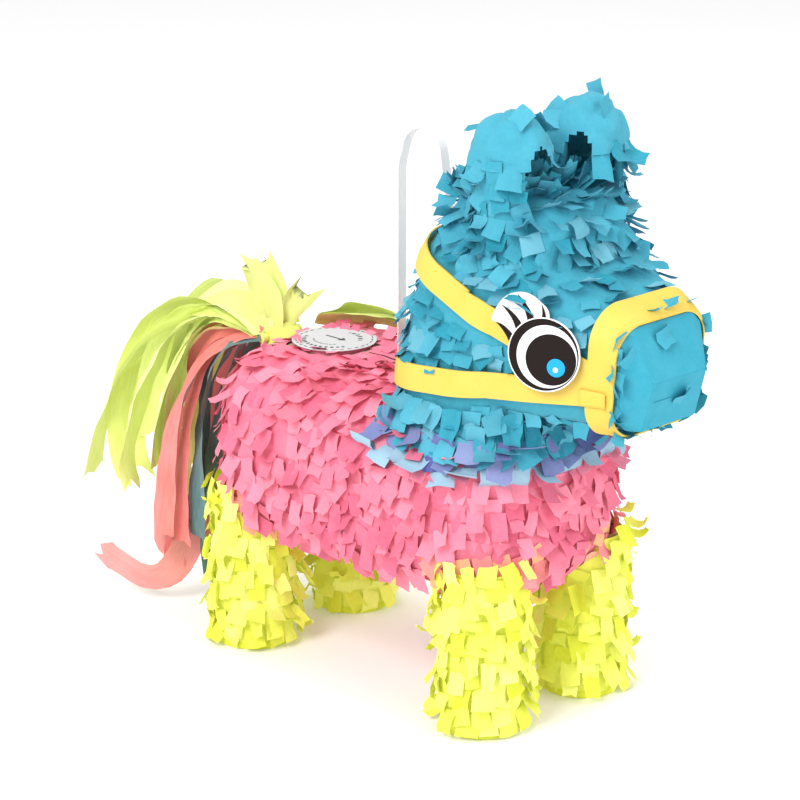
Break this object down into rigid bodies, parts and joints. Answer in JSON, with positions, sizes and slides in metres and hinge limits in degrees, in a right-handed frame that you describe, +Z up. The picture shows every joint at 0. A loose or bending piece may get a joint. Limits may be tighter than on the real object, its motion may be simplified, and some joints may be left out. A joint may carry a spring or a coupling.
{
  "type": "pinata",
  "caption": "Donkey pinata: hollow card body on tube legs, rows of tissue fringe, paper halter, fill hatch in the back, streamer tail and plastic hanging loop.",
  "frame": {"origin": "on the ground, under the middle of the whole object", "axes": "+X towards the nose, +Y to the animal's left, +Z up"},
  "size_m": [0.4534, 0.1544, 0.365],
  "materials": {
    "card": "raw corrugated card",
    "stick": "plain wood",
    "loop_plastic": "translucent white",
    "pink_tissue": "matt tissue",
    "blue_tissue": "matt tissue",
    "blue_wrap": "smooth tissue",
    "violet_tissue": "matt tissue",
    "yellow_tissue": "matt tissue",
    "yellow_foot": "pasted tissue",
    "strap_yellow": "crepe-textured paper",
    "eye_print": "glossy printed card",
    "disc_print": "printed paper",
    "tape": "paper tape",
    "streamer_yellow": "crepe paper",
    "streamer_coral": "crepe paper",
    "streamer_teal": "crepe paper"
  },
  "bodies": {
    "root": {"back_panel": "card", "back_streamers": "streamer_yellow", "belly_panel": "card", "chest_panel": "card", "collar_band": "violet_tissue", "flap_hinge_tape": "tape", "front_left_foot_disc": "yellow_foot", "front_left_leg_fringe": "yellow_tissue", "front_left_leg_tube": "card", "front_right_foot_disc": "yellow_foot", "front_right_leg_fringe": "yellow_tissue", "front_right_leg_tube": "card", "hanger_doubler": "card", "hanger_stick": "stick", "head_fringe": "blue_tissue", "head_shell": "card", "hind_left_foot_disc": "yellow_foot", "hind_left_leg_fringe": "yellow_tissue", "hind_left_leg_tube": "card", "hind_right_foot_disc": "yellow_foot", "hind_right_leg_fringe": "yellow_tissue", "hind_right_leg_tube": "card", "left_ear_fringe": "blue_tissue", "left_ear_shell": "card", "left_eye_sticker": "eye_print", "left_flank_panel": "card", "loop_front_end": "loop_plastic", "loop_rear_end": "loop_plastic", "lower_body_fringe": "pink_tissue", "middle_body_fringe": "pink_tissue", "muzzle_fringe": "blue_tissue", "muzzle_shell": "card", "neck_fringe": "blue_tissue", "neck_ruffle": "blue_tissue", "neck_shell": "card", "nose_cap": "card", "nose_wrap": "blue_wrap", "noseband_strap": "strap_yellow", "poll_strap": "strap_yellow", "right_ear_fringe": "blue_tissue", "right_ear_shell": "card", "right_eye_sticker": "eye_print", "right_flank_panel": "card", "rump_panel": "card", "tail_anchor": "streamer_yellow", "throat_strap": "strap_yellow", "upper_body_fringe": "pink_tissue"},
    "fill_flap": {"fill_flap": "card", "flap_tissue": "pink_tissue", "fill_disc": "disc_print"},
    "hanging_loop": {"hanging_loop": "loop_plastic"},
    "tail": {"tail_knot": "streamer_yellow", "tail_yellow_streamers": "streamer_yellow", "tail_coral_streamers": "streamer_coral", "tail_teal_streamers": "streamer_teal"}
  },
  "joints": [
    {"name": "hatch_hinge", "type": "hinge", "parent": "root", "child": "fill_flap", "pos_m": [-0.0187, 0, 0.1898], "axis": [0, 1, 0], "range_deg": [0, 95]},
    {"name": "tail_swing", "type": "hinge", "parent": "root", "child": "tail", "pos_m": [-0.094, 0, 0.184], "axis": [0, 1, 0], "range_deg": [0, 50]},
    {"name": "loop_bend", "type": "hinge", "parent": "root", "child": "hanging_loop", "pos_m": [0.0235, 0, 0.188], "axis": [1, 0, 0], "range_deg": [-65, 65], "stiffness_Nm_per_rad": 0.02}
  ]
}
